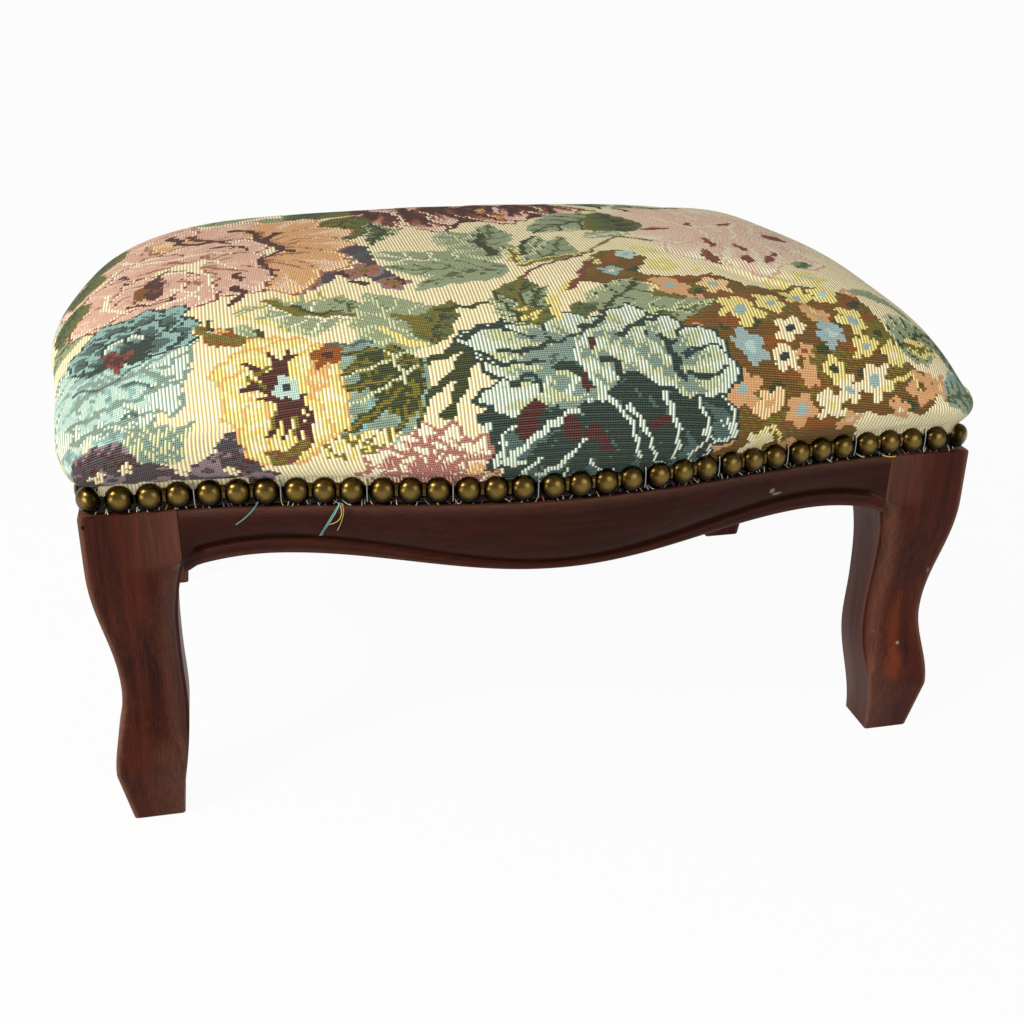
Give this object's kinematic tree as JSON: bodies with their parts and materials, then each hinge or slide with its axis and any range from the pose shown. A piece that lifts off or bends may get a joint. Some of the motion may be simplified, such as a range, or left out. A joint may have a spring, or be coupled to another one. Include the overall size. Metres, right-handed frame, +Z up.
{
  "type": "footstool",
  "caption": "Small upholstered footstool on sawn cabriole legs, with serpentine moulded rails, a domed floral tapestry seat and a row of brass nail heads round its edge.",
  "frame": {"origin": "on the floor, below the middle of the seat", "axes": "+Z up, +X along the length to the right, the front faces -Y"},
  "size_m": [0.3936, 0.2826, 0.211],
  "materials": {
    "mahogany": "satin",
    "beech": "matte",
    "plywood": "matte",
    "foam": "matte",
    "tapestry": "matte",
    "brass": "satin",
    "steel": "satin"
  },
  "bodies": {
    "root": {"leg_front_left": "mahogany", "leg_front_right": "mahogany", "leg_back_left": "mahogany", "leg_back_right": "mahogany", "rail_front": "mahogany", "rail_back": "mahogany", "rail_left": "mahogany", "rail_right": "mahogany", "corner_block_front_left": "beech", "corner_block_front_right": "beech", "corner_block_back_left": "beech", "corner_block_back_right": "beech", "leg_screw_front_left": "steel", "leg_screw_front_right": "steel", "leg_screw_back_left": "steel", "leg_screw_back_right": "steel", "board_screw_front_left": "steel", "board_screw_front_right": "steel", "board_screw_back_left": "steel", "board_screw_back_right": "steel", "seat_board": "plywood", "foam_pad": "foam", "tapestry_cover": "tapestry", "nail_corner_1": "brass", "nail_corner_2": "brass", "nail_corner_3": "brass", "nail_corner_4": "brass", "nail_strip_front_01": "brass", "nail_strip_front_02": "brass", "nail_strip_front_03": "brass", "nail_strip_front_04": "brass", "nail_strip_front_05": "brass", "nail_strip_front_06": "brass", "nail_strip_front_07": "brass", "nail_strip_front_08": "brass", "nail_strip_front_09": "brass", "nail_strip_front_10": "brass", "nail_strip_front_11": "brass", "nail_strip_front_12": "brass", "nail_strip_right_01": "brass", "nail_strip_right_02": "brass", "nail_strip_right_03": "brass", "nail_strip_right_04": "brass", "nail_strip_right_05": "brass", "nail_strip_back_01": "brass", "nail_strip_back_02": "brass", "nail_strip_back_03": "brass", "nail_strip_back_04": "brass", "nail_strip_back_05": "brass", "nail_strip_back_06": "brass", "nail_strip_back_07": "brass", "nail_strip_back_08": "brass", "nail_strip_left_01": "brass", "nail_strip_left_02": "brass", "nail_strip_left_03": "brass", "nail_strip_left_04": "brass", "nail_strip_left_05": "brass"}
  },
  "joints": []
}
